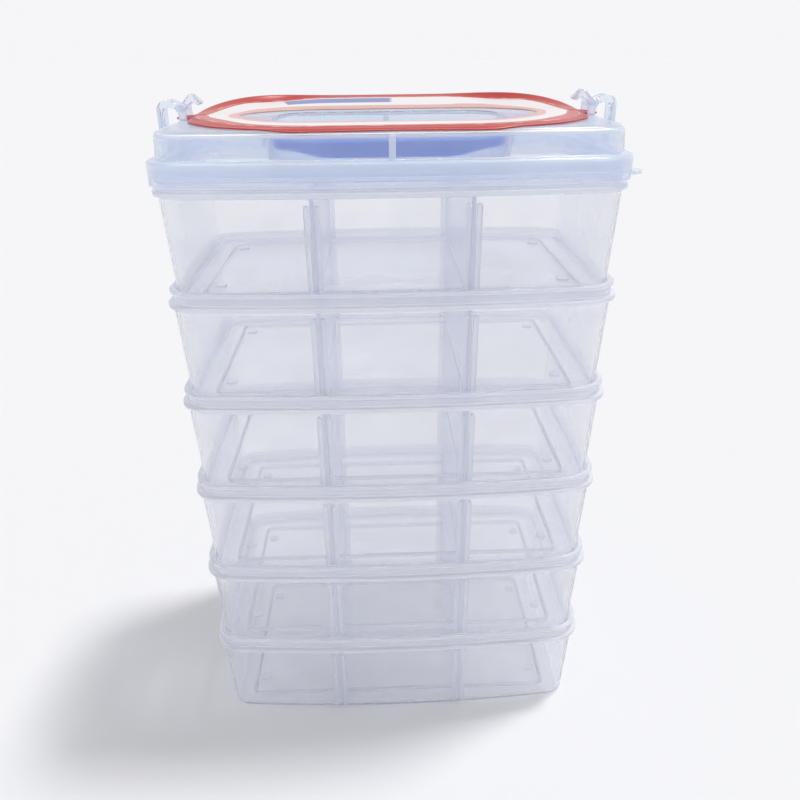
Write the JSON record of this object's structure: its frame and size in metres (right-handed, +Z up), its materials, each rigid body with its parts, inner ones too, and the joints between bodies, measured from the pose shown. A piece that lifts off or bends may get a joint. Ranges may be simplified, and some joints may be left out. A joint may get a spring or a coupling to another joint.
{
  "type": "stacking storage box",
  "caption": "Tall stack of clear plastic trays with lift-out dividers, under a tinted lid with a folding handle, rocker clips and a paper card.",
  "frame": {"origin": "under the middle of the stack, on the plane that the foot ring of the lowest tray stands on", "axes": "+X to the right, +Y to the back, +Z up; the front with the turned-down edge of the card faces -Y"},
  "size_m": [0.2642, 0.1656, 0.4061],
  "materials": {
    "clear_tray": "clear moulded polypropylene, slightly milky",
    "clear_divider": "clear moulded polypropylene, slightly milky",
    "tinted_lid": "milky blue translucent polypropylene",
    "blue_handle": "blue moulded polypropylene",
    "clear_clip": "clear moulded polypropylene",
    "clear_pin": "clear moulded plastic rod",
    "printed_card": "coated paperboard, printed red and white"
  },
  "bodies": {
    "tray_6": {"tray_6": "clear_tray"},
    "tray_5": {"tray_5": "clear_tray"},
    "tray_4": {"tray_4": "clear_tray"},
    "tray_3": {"tray_3": "clear_tray"},
    "tray_2": {"tray_2": "clear_tray"},
    "tray_1": {"tray_1": "clear_tray"},
    "divider_1_left": {"divider_1_left": "clear_divider"},
    "divider_1_right": {"divider_1_right": "clear_divider"},
    "divider_2_left": {"divider_2_left": "clear_divider"},
    "divider_2_right": {"divider_2_right": "clear_divider"},
    "divider_3_left": {"divider_3_left": "clear_divider"},
    "divider_3_right": {"divider_3_right": "clear_divider"},
    "divider_4_left": {"divider_4_left": "clear_divider"},
    "divider_4_right": {"divider_4_right": "clear_divider"},
    "divider_5_left": {"divider_5_left": "clear_divider"},
    "divider_5_right": {"divider_5_right": "clear_divider"},
    "divider_6_left": {"divider_6_left": "clear_divider"},
    "divider_6_right": {"divider_6_right": "clear_divider"},
    "lid": {"lid": "tinted_lid", "clip_pin_left": "clear_pin", "clip_pin_right": "clear_pin", "top_card": "printed_card"},
    "handle": {"handle": "blue_handle"},
    "clip_left": {"clip_left": "clear_clip"},
    "clip_right": {"clip_right": "clear_clip"}
  },
  "joints": [
    {"name": "tray_5_lift", "type": "slide", "parent": "tray_6", "child": "tray_5", "axis": [0, 0, 1], "range_m": [0, 0.14]},
    {"name": "tray_4_lift", "type": "slide", "parent": "tray_5", "child": "tray_4", "axis": [0, 0, 1], "range_m": [0, 0.14]},
    {"name": "tray_3_lift", "type": "slide", "parent": "tray_4", "child": "tray_3", "axis": [0, 0, 1], "range_m": [0, 0.14]},
    {"name": "tray_2_lift", "type": "slide", "parent": "tray_3", "child": "tray_2", "axis": [0, 0, 1], "range_m": [0, 0.14]},
    {"name": "tray_1_lift", "type": "slide", "parent": "tray_2", "child": "tray_1", "axis": [0, 0, 1], "range_m": [0, 0.14]},
    {"name": "lid_lift", "type": "slide", "parent": "tray_1", "child": "lid", "axis": [0, 0, 1], "range_m": [0, 0.14]},
    {"name": "handle_fold", "type": "hinge", "parent": "lid", "child": "handle", "pos_m": [0, 0, 0.3816], "axis": [-1, 0, 0], "range_deg": [0, 180]},
    {"name": "clip_left_swing", "type": "hinge", "parent": "lid", "child": "clip_left", "pos_m": [-0.1178, 0, 0.3989], "axis": [0, 1, 0], "range_deg": [-2.5, 25]},
    {"name": "clip_right_swing", "type": "hinge", "parent": "lid", "child": "clip_right", "pos_m": [0.1178, 0, 0.3989], "axis": [0, -1, 0], "range_deg": [-2.5, 25]},
    {"name": "divider_1_left_lift", "type": "slide", "parent": "tray_1", "child": "divider_1_left", "axis": [0, 0, 1], "range_m": [0, 0.07]},
    {"name": "divider_1_right_lift", "type": "slide", "parent": "tray_1", "child": "divider_1_right", "axis": [0, 0, 1], "range_m": [0, 0.07]},
    {"name": "divider_2_left_lift", "type": "slide", "parent": "tray_2", "child": "divider_2_left", "axis": [0, 0, 1], "range_m": [0, 0.07]},
    {"name": "divider_2_right_lift", "type": "slide", "parent": "tray_2", "child": "divider_2_right", "axis": [0, 0, 1], "range_m": [0, 0.07]},
    {"name": "divider_3_left_lift", "type": "slide", "parent": "tray_3", "child": "divider_3_left", "axis": [0, 0, 1], "range_m": [0, 0.07]},
    {"name": "divider_3_right_lift", "type": "slide", "parent": "tray_3", "child": "divider_3_right", "axis": [0, 0, 1], "range_m": [0, 0.07]},
    {"name": "divider_4_left_lift", "type": "slide", "parent": "tray_4", "child": "divider_4_left", "axis": [0, 0, 1], "range_m": [0, 0.07]},
    {"name": "divider_4_right_lift", "type": "slide", "parent": "tray_4", "child": "divider_4_right", "axis": [0, 0, 1], "range_m": [0, 0.07]},
    {"name": "divider_5_left_lift", "type": "slide", "parent": "tray_5", "child": "divider_5_left", "axis": [0, 0, 1], "range_m": [0, 0.07]},
    {"name": "divider_5_right_lift", "type": "slide", "parent": "tray_5", "child": "divider_5_right", "axis": [0, 0, 1], "range_m": [0, 0.07]},
    {"name": "divider_6_left_lift", "type": "slide", "parent": "tray_6", "child": "divider_6_left", "axis": [0, 0, 1], "range_m": [0, 0.07]},
    {"name": "divider_6_right_lift", "type": "slide", "parent": "tray_6", "child": "divider_6_right", "axis": [0, 0, 1], "range_m": [0, 0.07]}
  ],
  "couplings": [
    {"joint": "divider_1_left_lift", "follows": "lid_lift", "ratio": 0.5},
    {"joint": "divider_1_right_lift", "follows": "lid_lift", "ratio": 0.5},
    {"joint": "divider_2_left_lift", "follows": "tray_1_lift", "ratio": 0.5},
    {"joint": "divider_2_right_lift", "follows": "tray_1_lift", "ratio": 0.5},
    {"joint": "divider_3_left_lift", "follows": "tray_2_lift", "ratio": 0.5},
    {"joint": "divider_3_right_lift", "follows": "tray_2_lift", "ratio": 0.5},
    {"joint": "divider_4_left_lift", "follows": "tray_3_lift", "ratio": 0.5},
    {"joint": "divider_4_right_lift", "follows": "tray_3_lift", "ratio": 0.5},
    {"joint": "divider_5_left_lift", "follows": "tray_4_lift", "ratio": 0.5},
    {"joint": "divider_5_right_lift", "follows": "tray_4_lift", "ratio": 0.5},
    {"joint": "divider_6_left_lift", "follows": "tray_5_lift", "ratio": 0.5},
    {"joint": "divider_6_right_lift", "follows": "tray_5_lift", "ratio": 0.5}
  ]
}
